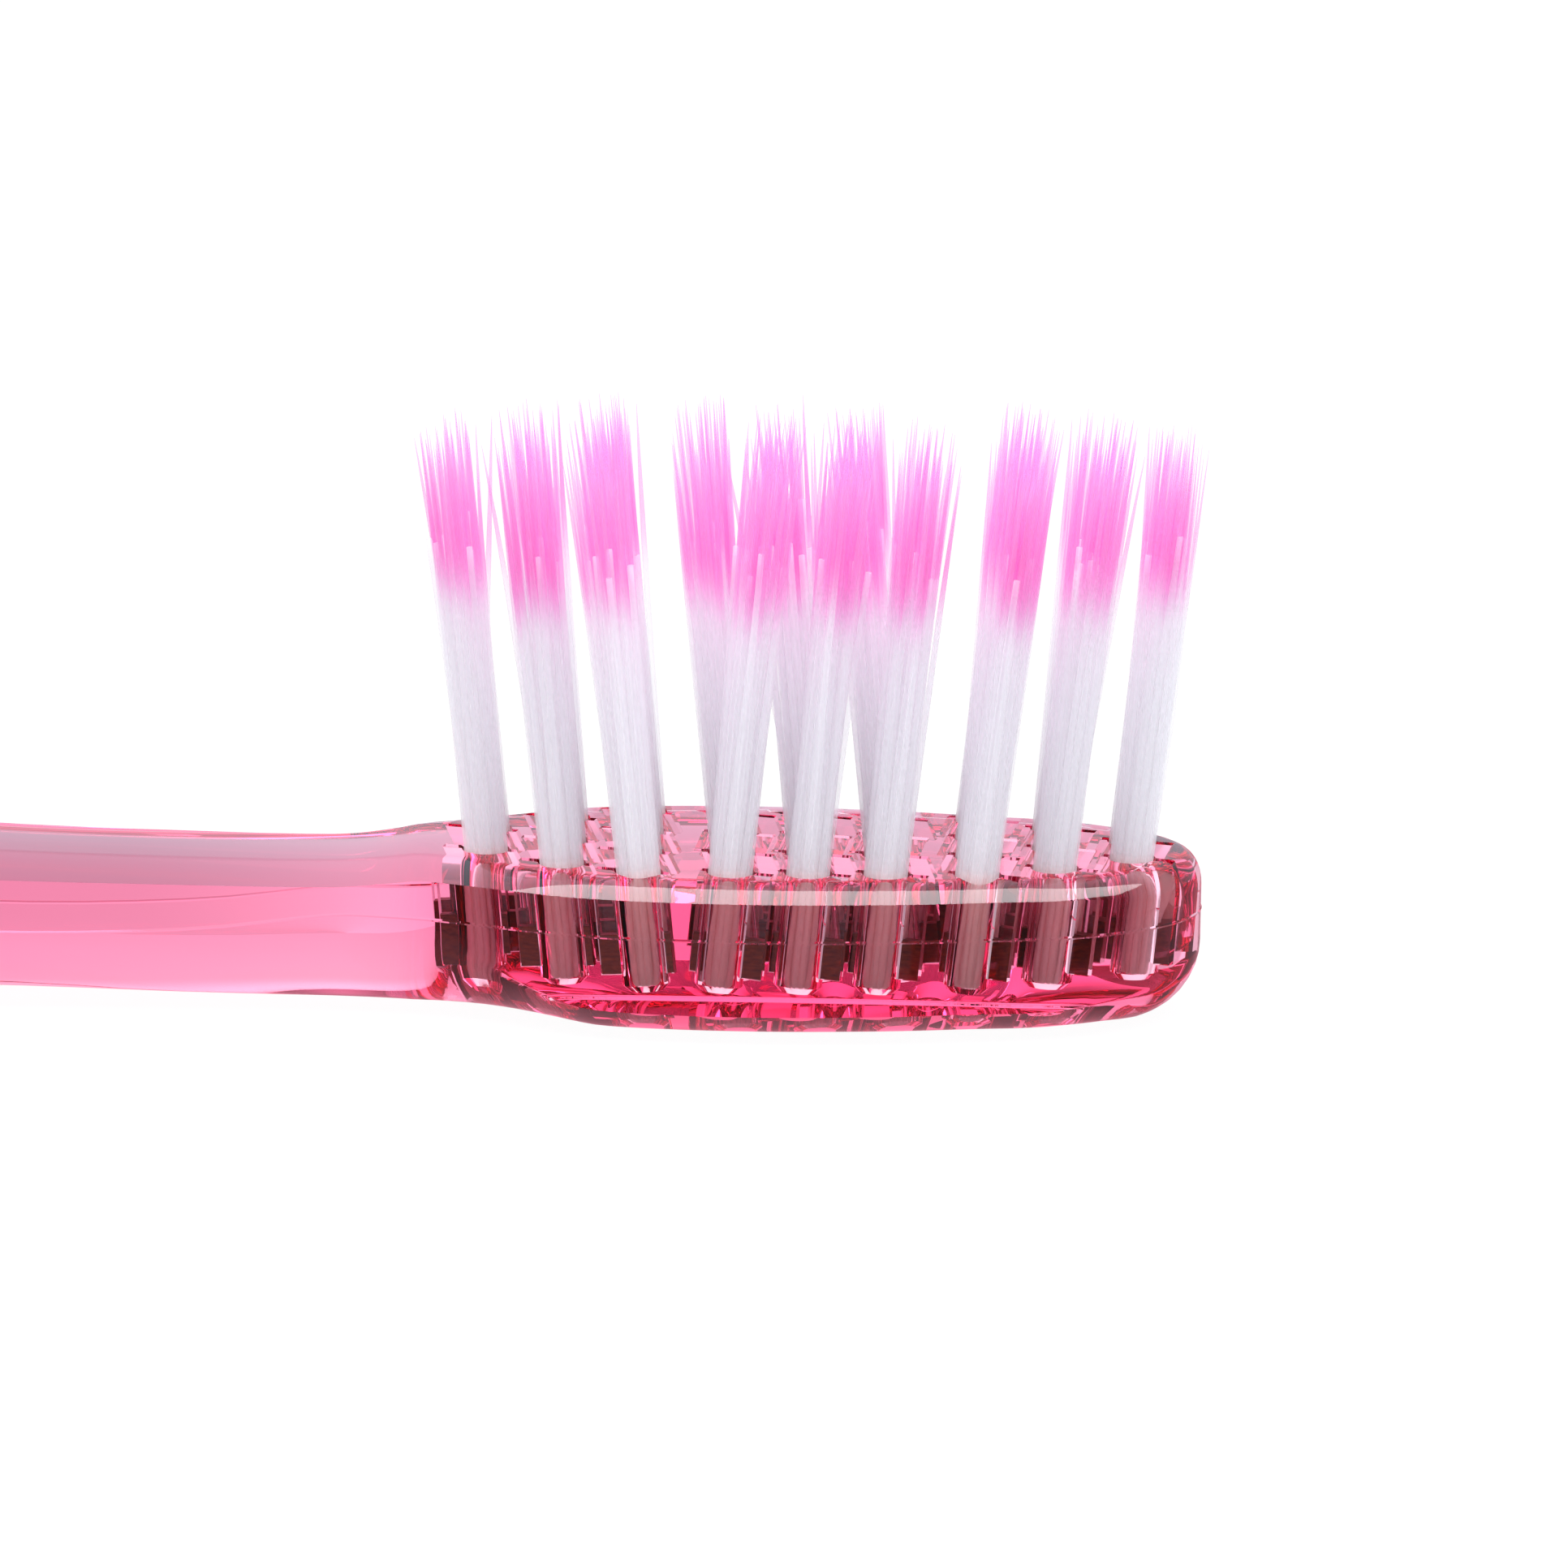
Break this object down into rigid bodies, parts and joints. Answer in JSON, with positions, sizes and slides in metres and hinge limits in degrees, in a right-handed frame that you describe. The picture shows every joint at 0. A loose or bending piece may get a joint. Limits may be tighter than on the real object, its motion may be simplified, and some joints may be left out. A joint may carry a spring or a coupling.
{
  "type": "manual toothbrush",
  "caption": "Manual toothbrush with a clear one-piece handle, a small oval head and leaning tufts of tapered filaments held by brass anchor blades.",
  "frame": {"origin": "centre of the brush in plan, on the surface that its underside rests on", "axes": "+X along the handle to the head tip, +Y across the head, +Z along the bristles"},
  "size_m": [0.18, 0.013, 0.017],
  "materials": {
    "clear_handle": "polished clear pink plastic",
    "filaments": "white filaments with dyed tips",
    "brass_anchors": "punched strip"
  },
  "bodies": {
    "root": {"handle": "clear_handle", "tuft_c1_r1": "filaments", "tuft_c1_r2": "filaments", "tuft_c2_r1": "filaments", "tuft_c2_r2": "filaments", "tuft_c2_r3": "filaments", "tuft_c3_r1": "filaments", "tuft_c3_r2": "filaments", "tuft_c3_r3": "filaments", "tuft_c3_r4": "filaments", "tuft_c4_r1": "filaments", "tuft_c4_r2": "filaments", "tuft_c4_r3": "filaments", "tuft_c4_r4": "filaments", "tuft_c5_r1": "filaments", "tuft_c5_r2": "filaments", "tuft_c5_r3": "filaments", "tuft_c5_r4": "filaments", "tuft_c6_r1": "filaments", "tuft_c6_r2": "filaments", "tuft_c6_r3": "filaments", "tuft_c6_r4": "filaments", "tuft_c7_r1": "filaments", "tuft_c7_r2": "filaments", "tuft_c7_r3": "filaments", "tuft_c7_r4": "filaments", "tuft_c8_r1": "filaments", "tuft_c8_r2": "filaments", "tuft_c8_r3": "filaments", "tuft_c9_r1": "filaments", "tuft_c9_r2": "filaments", "anchors_c1": "brass_anchors", "anchors_c2": "brass_anchors", "anchors_c3": "brass_anchors", "anchors_c4": "brass_anchors", "anchors_c5": "brass_anchors", "anchors_c6": "brass_anchors", "anchors_c7": "brass_anchors", "anchors_c8": "brass_anchors", "anchors_c9": "brass_anchors"}
  },
  "joints": []
}
